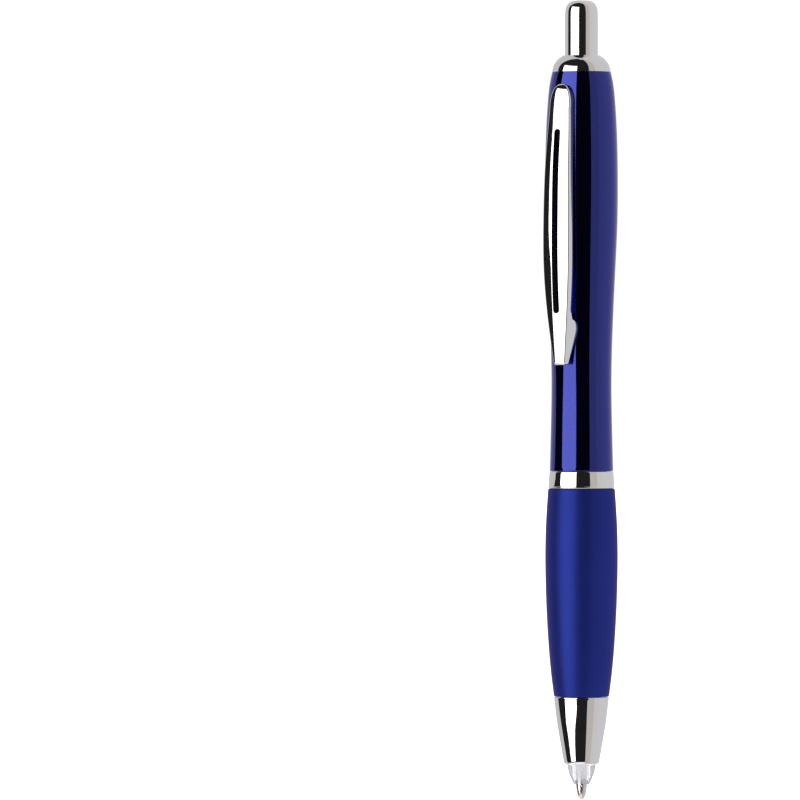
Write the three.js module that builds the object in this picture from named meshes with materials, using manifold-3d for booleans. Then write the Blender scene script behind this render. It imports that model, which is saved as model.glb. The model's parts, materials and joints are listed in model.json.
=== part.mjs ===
// A retractable ballpoint pen as an assembly of separate pieces, in millimetres.
// The pen's axis is Z. The origin is the writing point, +Z runs up to the push button,
// and the pocket clip lies on the -Y side. The refill is latched in its writing position.
import * as THREE from "three";
import { mergeVertices } from "three/addons/utils/BufferGeometryUtils.js";
import Module from "manifold-3d";

const wasm = await Module();
wasm.setup();

// ---------- driving dimensions ----------

// Heights along the pen, from the writing point up.
const Z = {
  clearTip: 2.7, // lower end of the clear tip
  nose: 6.3, // lower end of the chrome nose
  grip: 18.15, // lower end of the grip sleeve
  ring: 54.8, // lower edge of the centre ring
  barrel: 57.9, // lower end of the upper barrel
  collar: 128.3, // joint between the barrel and the crown collar
  collarTop: 131.2, // rim of the crown collar
  top: 140.9, // top of the push button
};

const ROUND = 28; // facets around the outer pieces
const ROUND_SMALL = 20; // facets around the inner pieces
const ROUND_FINE = 14; // facets around the writing point
const FIT = 0.1; // radial clearance of a push fit
const TURN = Math.PI * 2;

// Refill of the international G2 size.
const REFILL = {
  r: 2.95,
  wall: 0.25,
  shoulder: 21.8, // the spring bears here
  tubeTop: 93,
  top: 98.1,
  neckR: 1.6,
  tipR: 1.0,
  tipShankR: 1.17,
  ballR: 0.4,
};

// Click mechanism: four grooves in the sleeve, four ribs on the rotor.
const CAM = {
  count: 4,
  sleeveBottom: 104,
  sleeveTop: 124.2,
  sleeveR: 4.45,
  boreR: 3.65,
  railR: 2.75, // inner radius of the sleeve's rails
  railBottom: 113.4,
  railTop: 123.4,
  railAngle: 50, // degrees
  ribR: 3.45, // outer radius of the rotor's ribs and the plunger's keys
  ribAngle: 22,
  rotorR: 2.4,
  rotorBottom: 98.4,
  rotorTop: 112.2,
  plungerR: 2.55,
  plungerBottom: 114.4,
  toothHeight: 0.7,
  teeth: 8,
};

const BORE = {
  lower: 4.6, // barrel bore from the thread bush up to the waist
  chamber: 5.45, // room for the clip's hook
  top: 4.7, // seat of the crown collar and the cam sleeve
  core: 3.15, // refill guide in the grip core
};

const THREAD = { crest: 3.85, root: 3.6, bushR: 3.95, pitch: 1.0, from: 58.9, turns: 7 };

const BUTTON = { r: 2.9, bore: 2.3, bottom: 125.1, flatR: 1.2 };

const CLIP = {
  thickness: 1.42,
  slotWidth: 1.15,
  slotLow: 85.6,
  slotHigh: 118,
  rootWidth: 3.3,
  rootLow: 116,
  rootHigh: 125.3,
  rootGap: 0.15, // between the root and the barrel
  tangWidth: 1.8,
  tangLow: 117.7,
  tangHigh: 121.1,
  tangInner: 4.65,
  hookDrop: 1.1,
  hookThickness: 0.35,
  near: 4, // distances from the axis that bracket the whole clip
  far: 11,
};

// ---------- helpers ----------

const rad = THREE.MathUtils.degToRad;
const v2 = (x, y) => new THREE.Vector2(x, y);
const points2 = (pairs) => pairs.map(([x, y]) => v2(x, y));

// Points of a smooth curve through the given pairs.
const smooth = (pairs, steps) => new THREE.SplineCurve(points2(pairs)).getPoints(steps);

// Points of an arc about (cx, cy), from angle a to angle b in degrees.
function arc(cx, cy, r, a, b, steps = 6) {
  return Array.from({ length: steps + 1 }, (_, i) => {
    const t = rad(a + ((b - a) * i) / steps);
    return v2(cx + r * Math.cos(t), cy + r * Math.sin(t));
  });
}

// A piece turned about Z from a closed outline of (radius, height) points.
function turned(outline, facets = ROUND_SMALL) {
  const loop = outline.map((p) => (Array.isArray(p) ? v2(...p) : p));
  const onAxis = loop[0].x === 0 && loop[loop.length - 1].x === 0;
  if (!onAxis) loop.push(loop[0].clone());
  if (THREE.ShapeUtils.area(loop) < 0) loop.reverse();
  return new THREE.LatheGeometry(loop, facets).rotateX(Math.PI / 2);
}

// A flat outline pushed through a thickness, centred on the outline's plane.
function slab(outline, thickness) {
  const settings = { depth: thickness, bevelEnabled: false, steps: 1 };
  const block = new THREE.ExtrudeGeometry(new THREE.Shape(outline), settings);
  return block.translate(0, 0, -thickness / 2);
}

// An outline in (distance out from the axis, height) pushed sideways along X, on the clip's side.
const sideSlab = (outline, width) =>
  slab(outline, width).applyMatrix4(
    new THREE.Matrix4().makeBasis(
      new THREE.Vector3(0, -1, 0),
      new THREE.Vector3(0, 0, 1),
      new THREE.Vector3(-1, 0, 0),
    ),
  );

// An outline in (x, height) pushed outwards along -Y, from one distance to another.
const faceSlab = (outline, from, to) =>
  slab(outline, to - from)
    .rotateX(Math.PI / 2)
    .translate(0, -(from + to) / 2, 0);

// A wedge of a ring between two radii, centred on an angle in degrees.
function sector(inner, outer, centre, width, low, high) {
  const steps = 4;
  const outerArc = arc(0, 0, outer, centre - width / 2, centre + width / 2, steps);
  const innerArc = arc(0, 0, inner, centre + width / 2, centre - width / 2, steps);
  return slab([...outerArc, ...innerArc], high - low).translate(0, 0, (low + high) / 2);
}

// manifold-3d solid from a closed geometry, and back.
function solid(geometry) {
  const bare = geometry.clone();
  bare.deleteAttribute("normal");
  bare.deleteAttribute("uv");
  const merged = mergeVertices(bare, 1e-4);
  return new wasm.Manifold(
    new wasm.Mesh({
      numProp: 3,
      vertProperties: new Float32Array(merged.attributes.position.array),
      triVerts: new Uint32Array(merged.index.array),
    }),
  );
}

function geometryOf(manifold) {
  const mesh = manifold.getMesh();
  const geometry = new THREE.BufferGeometry();
  geometry.setAttribute("position", new THREE.BufferAttribute(mesh.vertProperties, 3));
  geometry.setIndex(new THREE.BufferAttribute(mesh.triVerts, 1));
  geometry.computeVertexNormals();
  return geometry;
}

const join = (...geometries) =>
  geometryOf(geometries.map(solid).reduce((whole, next) => whole.add(next)));
const cut = (base, ...tools) =>
  geometryOf(tools.map(solid).reduce((whole, tool) => whole.subtract(tool), solid(base)));
const common = (a, b) => geometryOf(solid(a).intersect(solid(b)));

// Copies of one shape, spread evenly around the axis.
const around = (count, make) => Array.from({ length: count }, (_, i) => make((360 / count) * i));

// ---------- materials ----------

const finish = (color, roughness, metalness, more = {}) =>
  new THREE.MeshStandardMaterial({ color, roughness, metalness, ...more });

const MATERIALS = {
  lacquer: () => finish(0x232a86, 0.12, 0.85),
  chrome: () => finish(0xd8d8dc, 0.06, 1),
  softGrip: () => finish(0x26307e, 0.55, 0),
  clear: () => finish(0xe4e6ee, 0.12, 0, { transparent: true, opacity: 0.45 }),
  blackPlastic: () => finish(0x17171b, 0.45, 0),
  whitePlastic: () => finish(0xe9e7df, 0.4, 0),
  brass: () => finish(0xb99a52, 0.3, 1),
  steel: () => finish(0xb4b6b8, 0.28, 1),
  nickelSilver: () => finish(0xc3b9a8, 0.24, 1),
  ink: () => finish(0x11154f, 0.3, 0),
};

function piece(name, material, geometry) {
  const mesh = new THREE.Mesh(geometry, MATERIALS[material]());
  mesh.name = name;
  return mesh;
}

// ---------- upper barrel ----------

// Outside of the barrel: narrow at the waist, fullest under the clip, drawn in to the collar.
const BARREL_OUTSIDE = [
  [5.6, Z.barrel],
  [5.4, 66],
  [5.3, 73.5],
  [5.48, 82],
  [5.98, 93.3],
  [6.36, 102],
  [6.43, 108.5],
  [6.32, 116.2],
  [5.93, 123.4],
  [5.5, 126.9],
  [5.2, Z.collar - 0.05],
];

const barrelOutside = (grow = 0) =>
  smooth(BARREL_OUTSIDE, 20).map((p) => v2(p.x + grow, p.y));

function upperBarrel() {
  const bore = points2([
    [BORE.top, Z.collar - 0.05],
    [BORE.top, 122.4],
    [BORE.chamber, 121.6],
    [BORE.chamber, 104],
    [BORE.lower, 86],
    [BORE.lower, Z.barrel],
  ]);
  const shell = turned([...barrelOutside(), ...bore], ROUND);
  const height = CLIP.tangHigh - CLIP.tangLow + 1.2;
  const middle = (CLIP.tangHigh + CLIP.tangLow) / 2 - 0.1;
  const window = new THREE.BoxGeometry(CLIP.tangWidth + 0.6, 3, height);
  return cut(shell, window.translate(0, -BORE.chamber - 0.7, middle));
}

function crownCollar() {
  const dome = smooth([[5.19, Z.collar], [4.96, 129.3], [4.5, 130.15], [3.82, 130.82]], 6);
  const rim = [[3.3, Z.collarTop], [3.05, Z.collarTop - 0.12]];
  const skirt = [[3.05, 124.5], [BORE.top - FIT, 124.5], [BORE.top - FIT, Z.collar]];
  return turned([...dome, ...rim, ...skirt], ROUND);
}

function camSleeve() {
  const tube = turned(
    [
      [CAM.sleeveR, CAM.sleeveBottom],
      [CAM.sleeveR, CAM.sleeveTop],
      [CAM.boreR, CAM.sleeveTop],
      [CAM.boreR, CAM.sleeveBottom],
    ],
    ROUND_SMALL,
  );
  const rails = around(CAM.count, (angle) =>
    sector(
      CAM.railR,
      CAM.boreR + 0.2,
      angle + 180 / CAM.count,
      CAM.railAngle,
      CAM.railBottom,
      CAM.railTop,
    ),
  );
  return join(tube, ...rails);
}

function threadBush() {
  const low = Z.barrel + 0.6;
  const high = 68.5;
  const outside = BORE.lower - FIT;
  const grooves = [];
  for (let i = 0; i < THREAD.turns; i += 1) {
    const z = THREAD.from + 0.7 + i * THREAD.pitch;
    grooves.unshift([THREAD.bushR, z + 0.3], [THREAD.bushR + 0.2, z], [THREAD.bushR, z - 0.3]);
  }
  const bore = [[THREAD.bushR, high], ...grooves, [THREAD.bushR, low]];
  return turned([[outside, low], [outside, high], ...bore], ROUND_SMALL);
}

// ---------- pocket clip ----------

function pocketClip() {
  const outside = smooth(
    [
      [7.95, 77.1],
      [8.42, 81],
      [9.1, 88.1],
      [9.48, 96],
      [9.44, 103],
      [9.04, 112.8],
      [8.3, 119.8],
      [7.55, 124.6],
    ],
    16,
  );
  const crown = smooth([[7.2, 125.4], [6.7, 125.75], [6.15, 125.6]], 4);
  const inside = outside
    .filter((p) => p.y > 86 && p.y < 124)
    .map((p) => v2(p.x - CLIP.thickness, p.y - 0.1))
    .reverse();
  const lobe = arc(7.72, 82.5, 2.1, 100, 180, 7);
  const rampEnd = v2(6.92, 77.1);
  const end = arc(7.44, 77.08, 0.52, 200, 340, 5);
  const profile = [...outside, ...crown, v2(6.15, 124), ...inside, ...lobe, rampEnd, ...end];

  const halfWidths = [
    [1.1, 76.3],
    [1.8, 82.6],
    [2.12, 86],
    [2.55, 92.5],
    [2.67, 99],
    [2.6, 106],
    [2.3, 116.5],
    [2.05, 121.6],
  ];
  const right = smooth(halfWidths, 12);
  const top = smooth([[1.85, 123.6], [1.2, 125.2], [0, 125.8]], 5);
  const half = [...right, ...top];
  const left = half.slice(0, -1).reverse();
  const face = faceSlab([...half, ...left.map((p) => v2(-p.x, p.y))], CLIP.near, CLIP.far);
  const strip = common(sideSlab(profile, 8), face);

  const slotR = CLIP.slotWidth / 2;
  const slot = faceSlab(
    [
      ...arc(0, CLIP.slotHigh - slotR, slotR, 0, 180, 6),
      ...arc(0, CLIP.slotLow + slotR, slotR, 180, 360, 6),
    ],
    CLIP.near,
    CLIP.far,
  );

  const filletR = 0.4;
  const block = sideSlab(
    [
      v2(5, CLIP.rootLow),
      ...arc(6.98, CLIP.rootLow - filletR, filletR, 90, 0, 4),
      v2(7.8, CLIP.rootLow - filletR),
      v2(7.2, 120),
      v2(6.5, CLIP.rootHigh),
      v2(5, CLIP.rootHigh),
    ],
    CLIP.rootWidth,
  );
  const root = common(block, face);
  const hookLow = CLIP.tangLow - CLIP.hookDrop;
  const tang = sideSlab(
    points2([
      [7, CLIP.tangHigh],
      [CLIP.tangInner, CLIP.tangHigh],
      [CLIP.tangInner, hookLow],
      [CLIP.tangInner + CLIP.hookThickness, hookLow],
      [CLIP.tangInner + CLIP.hookThickness, CLIP.tangLow],
      [7, CLIP.tangLow],
    ]),
    CLIP.tangWidth,
  );
  const seat = turned([[0, Z.barrel], ...barrelOutside(CLIP.rootGap), [0, Z.collar]], ROUND * 2);
  const outer = cut(join(cut(strip, slot), root), seat);
  return join(outer, tang);
}

// ---------- button, plunger and rotor ----------

function pushButton() {
  const dome = smooth([[BUTTON.r - 0.04, 138.9], [2.66, 139.9], [2.1, 140.55]], 4);
  return turned(
    [
      [0, Z.top],
      [BUTTON.flatR, Z.top],
      ...dome.reverse(),
      [BUTTON.r, BUTTON.bottom + 3],
      [BUTTON.r, BUTTON.bottom],
      [BUTTON.bore, BUTTON.bottom],
      [BUTTON.bore, 136.4],
      [0, 136.4],
    ],
    ROUND,
  );
}

// Saw teeth standing on a ring, pointing up or down.
function teeth(inner, outer, base, direction) {
  const step = TURN / CAM.teeth;
  const reach = outer * Math.tan(step / 2);
  const tall = base + direction * CAM.toothHeight;
  const root = base - direction * 0.3;
  const outline = points2([[-reach, root], [reach, root], [reach, base], [-reach * 0.7, tall]]);
  const comb = around(CAM.teeth, (angle) =>
    slab(direction > 0 ? outline : outline.reverse(), outer - inner)
      .rotateX(Math.PI / 2)
      .translate(0, -(inner + outer) / 2, 0)
      .rotateZ(rad(angle)),
  );
  const low = Math.min(root, tall);
  const high = Math.max(root, tall);
  const ring = turned([[inner, low], [outer, low], [outer, high], [inner, high]]);
  return common(join(...comb), ring);
}

function buttonPlunger() {
  const bore = 1.6;
  const spigot = BUTTON.bore - FIT;
  const body = turned([
    [bore, CAM.plungerBottom],
    [CAM.plungerR, CAM.plungerBottom],
    [CAM.plungerR, BUTTON.bottom - 0.1],
    [spigot, BUTTON.bottom - 0.1],
    [spigot, 136],
    [bore, 136],
  ]);
  const keys = around(CAM.count, (angle) =>
    sector(CAM.plungerR - 0.3, CAM.ribR, angle, 28, 115, 118.8),
  );
  return join(body, ...keys, teeth(bore, CAM.plungerR, CAM.plungerBottom, -1));
}

function camRotor() {
  const bore = 1.3;
  const boreTop = CAM.rotorBottom + 7;
  const body = turned([
    [0, CAM.rotorTop],
    [CAM.rotorR, CAM.rotorTop],
    [CAM.rotorR, CAM.rotorBottom],
    [bore, CAM.rotorBottom],
    [bore, boreTop],
    [0, boreTop],
  ]);
  const ribs = around(CAM.count, (angle) =>
    sector(CAM.rotorR - 0.3, CAM.ribR, angle, CAM.ribAngle, 108.6, CAM.rotorTop + 0.6),
  );
  return join(body, ...ribs, teeth(1.1, CAM.rotorR, CAM.rotorTop, 1));
}

// ---------- front section ----------

function centreRing() {
  const outside = smooth([[5.9, Z.ring + 0.22], [5.78, 56.3], [5.62, Z.barrel - 0.2]], 4);
  return turned(
    [
      [4.45, Z.ring + 0.05],
      [5.74, Z.ring + 0.05],
      ...outside,
      [5.5, Z.barrel - 0.05],
      [4.45, Z.barrel - 0.05],
    ],
    ROUND,
  );
}

function gripCore() {
  const shoulder = Z.barrel - 0.1;
  const threads = [];
  for (let i = 0; i < THREAD.turns; i += 1) {
    const z = THREAD.from + i * THREAD.pitch;
    threads.push([THREAD.root, z - 0.3], [THREAD.crest, z], [THREAD.root, z + 0.3]);
  }
  return turned([
    [BORE.core, 13.6],
    [3.7, 13.6],
    [3.7, Z.grip + 0.05],
    [4.35, Z.grip + 0.05],
    [4.35, shoulder],
    [THREAD.root, shoulder],
    ...threads,
    [THREAD.root, 66.4],
    [BORE.core, 66.4],
  ]);
}

function gripSleeve() {
  const outside = smooth(
    [
      [4.88, Z.grip + 0.05],
      [5.25, 21.2],
      [5.75, 26.4],
      [6.22, 34.5],
      [6.41, 42],
      [6.27, 49],
      [5.9, Z.ring],
    ],
    13,
  );
  return turned([...outside, [4.45, Z.ring], [4.45, Z.grip + 0.05]], ROUND);
}

function noseCone() {
  const outside = smooth([[3.1, 6.45], [3.8, 10.4], [4.36, 13.9], [4.84, 18]], 7);
  const seat = 13.4;
  return turned(
    [
      [2.4, Z.nose],
      [2.98, Z.nose],
      ...outside,
      [4.78, Z.grip - 0.05],
      [3.8, Z.grip - 0.05],
      [3.8, seat],
      [3.05, seat],
      [3.05, 8.6],
      [2.4, 8.6],
    ],
    ROUND,
  );
}

function clearTip() {
  const spigot = 2.3;
  return turned(
    [
      [1.12, Z.clearTip],
      [1.24, Z.clearTip],
      [1.34, Z.clearTip + 0.12],
      [2.52, Z.nose - 0.25],
      [2.52, Z.nose - 0.05],
      [spigot, Z.nose - 0.05],
      [spigot, 8.75],
      [2.6, 8.85],
      [2.45, 9.5],
      [spigot, 9.5],
      [spigot, 10.2],
      [1.35, 10.2],
      [1.35, 4.1],
      [1.12, 3.8],
    ],
    ROUND,
  );
}

class Coil extends THREE.Curve {
  constructor(radius, low, high, turns) {
    super();
    Object.assign(this, { radius, low, high, turns });
  }

  getPoint(t, target = new THREE.Vector3()) {
    const angle = TURN * this.turns * t;
    const x = this.radius * Math.cos(angle);
    const y = this.radius * Math.sin(angle);
    return target.set(x, y, this.low + (this.high - this.low) * t);
  }
}

function returnSpring() {
  const wire = 0.2;
  const turns = 8;
  const coil = new Coil(2.05, 10.2 + wire + 0.05, REFILL.shoulder - wire - 0.05, turns);
  const section = new THREE.Shape(arc(0, 0, wire, 0, 288, 4));
  const settings = { steps: turns * 12, bevelEnabled: false, extrudePath: coil };
  return new THREE.ExtrudeGeometry(section, settings);
}

// ---------- refill ----------

function refillTube() {
  const bore = REFILL.r - REFILL.wall;
  return turned([
    [REFILL.neckR + 0.08, REFILL.shoulder],
    [REFILL.r - 0.6, REFILL.shoulder],
    [REFILL.r, REFILL.shoulder + 0.6],
    [REFILL.r, REFILL.tubeTop],
    [bore, REFILL.tubeTop],
    [bore, REFILL.shoulder + 0.7],
    [REFILL.neckR + 0.08, REFILL.shoulder + 0.3],
  ]);
}

function refillNeck() {
  const plug = REFILL.r - REFILL.wall - FIT;
  return turned([
    [0.95, 8.4],
    [1.27, 8.4],
    [1.27, 13.6],
    [REFILL.neckR, 14.4],
    [REFILL.neckR, REFILL.shoulder + 0.8],
    [plug, REFILL.shoulder + 1.2],
    [plug, 25],
    [0.95, 25],
  ]);
}

function writingTip() {
  const shank = 0.85;
  const shankTop = 12;
  const feed = 0.22; // radius of the ink passage
  const cone = smooth([[0.5, 0.3], [0.78, 1.1], [REFILL.tipR, 2.15]], 4);
  const outline = [
    [0.385, 0.22],
    [0.45, 0.2],
    ...cone,
    [REFILL.tipR, 5.8],
    [REFILL.tipShankR, 6],
    [REFILL.tipShankR, 8.3],
    [shank, 8.3],
    [shank, shankTop],
    [feed, shankTop],
    [feed, 0.98],
    [0.38, 0.72],
    [REFILL.ballR + 0.05, 0.45],
  ];
  return turned(outline, ROUND_FINE);
}

function writingBall() {
  const ball = new THREE.SphereGeometry(REFILL.ballR, ROUND_FINE, 8);
  return ball.rotateX(Math.PI / 2).translate(0, 0, REFILL.ballR);
}

function inkColumn() {
  const r = REFILL.r - REFILL.wall - FIT;
  return turned([[0, 25.2], [r, 25.2], [r, 84], [r * 0.8, 83.4], [0, 83]]);
}

function refillEndCap() {
  const plug = REFILL.r - REFILL.wall - FIT;
  const body = turned([
    [0, 88.5],
    [plug, 88.5],
    [plug, REFILL.tubeTop + 0.1],
    [REFILL.r, REFILL.tubeTop + 0.1],
    [REFILL.r, 95],
    [2.3, 95.6],
    [2.3, REFILL.top],
    [0, REFILL.top],
  ]);
  const notches = around(3, (angle) =>
    new THREE.BoxGeometry(0.7, 6, 1.2).translate(0, 0, REFILL.top).rotateZ(rad(angle / 2)),
  );
  return cut(body, ...notches);
}

// ---------- assembly ----------

const pen = new THREE.Group();
pen.add(
  piece("upper_barrel", "lacquer", upperBarrel()),
  piece("crown_collar", "chrome", crownCollar()),
  piece("cam_sleeve", "whitePlastic", camSleeve()),
  piece("thread_bush", "brass", threadBush()),
  piece("pocket_clip", "chrome", pocketClip()),
  piece("push_button", "chrome", pushButton()),
  piece("button_plunger", "blackPlastic", buttonPlunger()),
  piece("cam_rotor", "whitePlastic", camRotor()),
  piece("centre_ring", "chrome", centreRing()),
  piece("grip_core", "blackPlastic", gripCore()),
  piece("grip_sleeve", "softGrip", gripSleeve()),
  piece("nose_cone", "chrome", noseCone()),
  piece("clear_tip", "clear", clearTip()),
  piece("return_spring", "steel", returnSpring()),
  piece("refill_tube", "steel", refillTube()),
  piece("refill_neck", "brass", refillNeck()),
  piece("refill_end_cap", "blackPlastic", refillEndCap()),
  piece("ink_column", "ink", inkColumn()),
  piece("writing_tip", "nickelSilver", writingTip()),
  piece("writing_ball", "steel", writingBall()),
);

export default pen;
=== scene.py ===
"""Looks of a retractable ballpoint pen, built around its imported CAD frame.

Lengths are millimetres until a mesh is made, and metres from there on. Outlines are (radius, height)
or (radius, height, rounding), with heights counted from the lower end of the piece's own CAD node.
"""
import json
from math import cos, exp, pi, radians, sin, sqrt

import bmesh
import bpy
import numpy as np
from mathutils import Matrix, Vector


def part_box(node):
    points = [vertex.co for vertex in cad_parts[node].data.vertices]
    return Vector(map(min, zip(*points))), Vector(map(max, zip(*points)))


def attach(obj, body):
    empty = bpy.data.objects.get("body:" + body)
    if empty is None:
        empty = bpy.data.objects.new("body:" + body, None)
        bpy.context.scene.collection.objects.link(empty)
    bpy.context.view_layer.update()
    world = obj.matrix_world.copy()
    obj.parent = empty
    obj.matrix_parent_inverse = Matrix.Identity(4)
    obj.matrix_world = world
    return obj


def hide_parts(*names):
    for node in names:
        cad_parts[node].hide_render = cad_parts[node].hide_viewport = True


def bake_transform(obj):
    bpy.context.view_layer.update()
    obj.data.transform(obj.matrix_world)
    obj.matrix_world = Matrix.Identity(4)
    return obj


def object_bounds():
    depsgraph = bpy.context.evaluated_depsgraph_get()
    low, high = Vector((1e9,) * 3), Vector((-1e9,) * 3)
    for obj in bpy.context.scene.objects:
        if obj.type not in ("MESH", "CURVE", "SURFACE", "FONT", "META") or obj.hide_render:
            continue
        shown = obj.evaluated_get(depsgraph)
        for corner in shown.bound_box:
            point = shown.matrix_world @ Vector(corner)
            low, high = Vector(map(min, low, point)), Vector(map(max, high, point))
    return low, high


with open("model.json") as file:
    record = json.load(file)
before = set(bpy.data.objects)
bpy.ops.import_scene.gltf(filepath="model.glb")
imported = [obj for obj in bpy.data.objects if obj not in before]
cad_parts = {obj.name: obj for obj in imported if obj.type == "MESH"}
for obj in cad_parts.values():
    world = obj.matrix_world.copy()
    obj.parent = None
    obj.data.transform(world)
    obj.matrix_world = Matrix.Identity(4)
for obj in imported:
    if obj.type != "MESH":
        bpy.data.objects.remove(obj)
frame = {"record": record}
cad_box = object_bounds()

MM = 0.001
FULL_TURN = 2 * pi
SEGMENTS = 144  # steps around a turned piece
CAM_SEGMENTS = 288  # steps around a piece with cam teeth or ribs
SCREW_SEGMENTS = 96  # steps around a piece with a thread or dimples
MERGE_DISTANCE = 2e-7  # metres, below which two vertices are one
CAMERA_AZIMUTH = 30  # degrees from the clip's side, towards +X

BODY_OF = {n: body for body, nodes in frame["record"]["behaviour"]["bodies"].items() for n in nodes}
SLOT_OF = {part["node"]: part["material_slot"] for part in frame["record"]["subparts"]}


# ---------- outlines ----------


def through(points, steps):
    """Evenly spaced points of a smooth curve through the given pairs: a natural cubic spline."""
    p = np.array(points, float)
    t = np.concatenate([[0], np.cumsum(np.linalg.norm(np.diff(p, axis=0), axis=1))])
    h = np.diff(t)
    slope = np.diff(p, axis=0) / h[:, None]
    system = np.eye(len(t))
    right = np.zeros_like(p)
    for i in range(1, len(t) - 1):
        system[i, i - 1 : i + 2] = h[i - 1], 2 * (h[i - 1] + h[i]), h[i]
        right[i] = 6 * (slope[i] - slope[i - 1])
    bend = np.linalg.solve(system, right)
    at = np.linspace(0, t[-1], steps + 1)
    k = np.clip(np.searchsorted(t, at, side="right") - 1, 0, len(h) - 1)
    a, b, w = (t[k + 1] - at)[:, None], (at - t[k])[:, None], h[k][:, None]
    curve = (bend[k] * a**3 + bend[k + 1] * b**3) / (6 * w)
    curve += (p[k] / w - bend[k] * w / 6) * a + (p[k + 1] / w - bend[k + 1] * w / 6) * b
    return [tuple(q) for q in curve]


def rounded(outline, steps=4):
    """The outline with each (radius, height, rounding) corner rounded, and each plain pair kept."""
    points = []
    for i, (r, z, *rounding) in enumerate(outline):
        corner = np.array((r, z))
        if not rounding:
            points.append(corner)
            continue
        before = np.array(outline[i - 1][:2]) - corner
        after = np.array(outline[(i + 1) % len(outline)][:2]) - corner
        reach = min(rounding[0], 0.45 * np.linalg.norm(before), 0.45 * np.linalg.norm(after))
        start = corner + before * reach / np.linalg.norm(before)
        end = corner + after * reach / np.linalg.norm(after)
        for s in np.linspace(0, 1, steps + 1):
            points.append((1 - s) ** 2 * start + 2 * s * (1 - s) * corner + s**2 * end)
    return points


# ---------- meshes ----------


def mesh_object(name, vertices, faces, crease=40):
    """A smooth-shaded object from vertices in millimetres, with its coincident vertices merged."""
    mesh = bpy.data.meshes.new(name)
    mesh.from_pydata([Vector(v) * MM for v in vertices], [], faces)
    shape = bmesh.new()
    shape.from_mesh(mesh)
    bmesh.ops.remove_doubles(shape, verts=shape.verts, dist=MERGE_DISTANCE)
    bmesh.ops.dissolve_degenerate(shape, edges=shape.edges, dist=1e-8)
    bmesh.ops.recalc_face_normals(shape, faces=shape.faces)
    shape.to_mesh(mesh)
    shape.free()
    made = bpy.data.objects.new(name, mesh)
    bpy.context.scene.collection.objects.link(made)
    shade(made, crease)
    return made


def shade(made, crease):
    """Smooth shading that keeps edges sharper than the crease angle, weighted to the large faces."""
    made.data.shade_smooth()
    made.data.set_sharp_from_angle(angle=radians(crease))
    if "normals" not in made.modifiers:
        weighting = made.modifiers.new("normals", "WEIGHTED_NORMAL")
        weighting.keep_sharp = True


def loft(rows):
    """Vertices and faces of a skin over loops with equal numbers of points, capped at both ends."""
    count = len(rows[0])
    vertices = [point for row in rows for point in row]
    faces = []
    for i in range(len(rows) - 1):
        for j in range(count):
            k = (j + 1) % count
            faces.append([i * count + j, i * count + k, (i + 1) * count + k, (i + 1) * count + j])
    faces.append(list(range(count)))
    faces.append([(len(rows) - 1) * count + j for j in range(count)])
    return vertices, faces


def turned(node, outline, segments=SEGMENTS, window=None):
    """A piece turned about Z. The outline is a list, or a function of the angle from the clip's side."""
    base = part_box(node)[0].z / MM
    vertices = []
    for j in range(segments):
        angle = FULL_TURN * j / segments
        points = rounded(outline(angle) if callable(outline) else outline)
        vertices += [(r * sin(angle), -r * cos(angle), base + z) for r, z in points]
    count = len(points)
    closed = points[0][0] > 1e-6 or points[-1][0] > 1e-6
    steps = range(count if closed else count - 1)
    faces = []
    for j in range(segments):
        here, there = j * count, (j + 1) % segments * count
        for i in steps:
            k = (i + 1) % count
            faces.append([here + i, here + k, there + k, there + i])
    if window:
        faces = open_window(faces, points, segments, *window)
    return mesh_object(f"{node}_fine", vertices, faces)


def open_window(faces, points, segments, low, high, half_steps):
    """Takes the faces of a turned wall out between two heights, on the clip's side, and walls the gap."""
    count = len(points)
    rows = [i for i, (r, z) in enumerate(points) if low - 1e-6 <= z <= high + 1e-6]
    gap = next(n for n in range(1, len(rows)) if rows[n] - rows[n - 1] > 1)
    walls = rows[:gap], rows[gap:]
    taken = {i for wall in walls for i in wall[:-1]}
    columns = [j % segments for j in range(-half_steps, half_steps + 1)]
    kept = [
        face
        for n, face in enumerate(faces)
        if not (n % count in taken and n // count in columns[:-1])
    ]
    for j in (columns[0], columns[-1]):
        kept.append([j * count + i for i in (*walls[0], *walls[1])])
    for one, other in ((walls[0][0], walls[1][-1]), (walls[0][-1], walls[1][0])):
        for j, k in zip(columns, columns[1:]):
            kept.append([j * count + one, k * count + one, k * count + other, j * count + other])
    return kept


def union(base, *others):
    """Joins other objects to the base with exact booleans, and removes them."""
    for other in others:
        step = base.modifiers.new("union", "BOOLEAN")
        step.operation = "UNION"
        step.solver = "EXACT"
        step.object = other
    base.modifiers.remove(base.modifiers["normals"])
    whole = base.evaluated_get(bpy.context.evaluated_depsgraph_get())
    base.data = bpy.data.meshes.new_from_object(whole)
    base.modifiers.clear()
    for other in others:
        bpy.data.objects.remove(other)
    shade(base, crease=35)
    return base


# ---------- materials ----------


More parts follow.
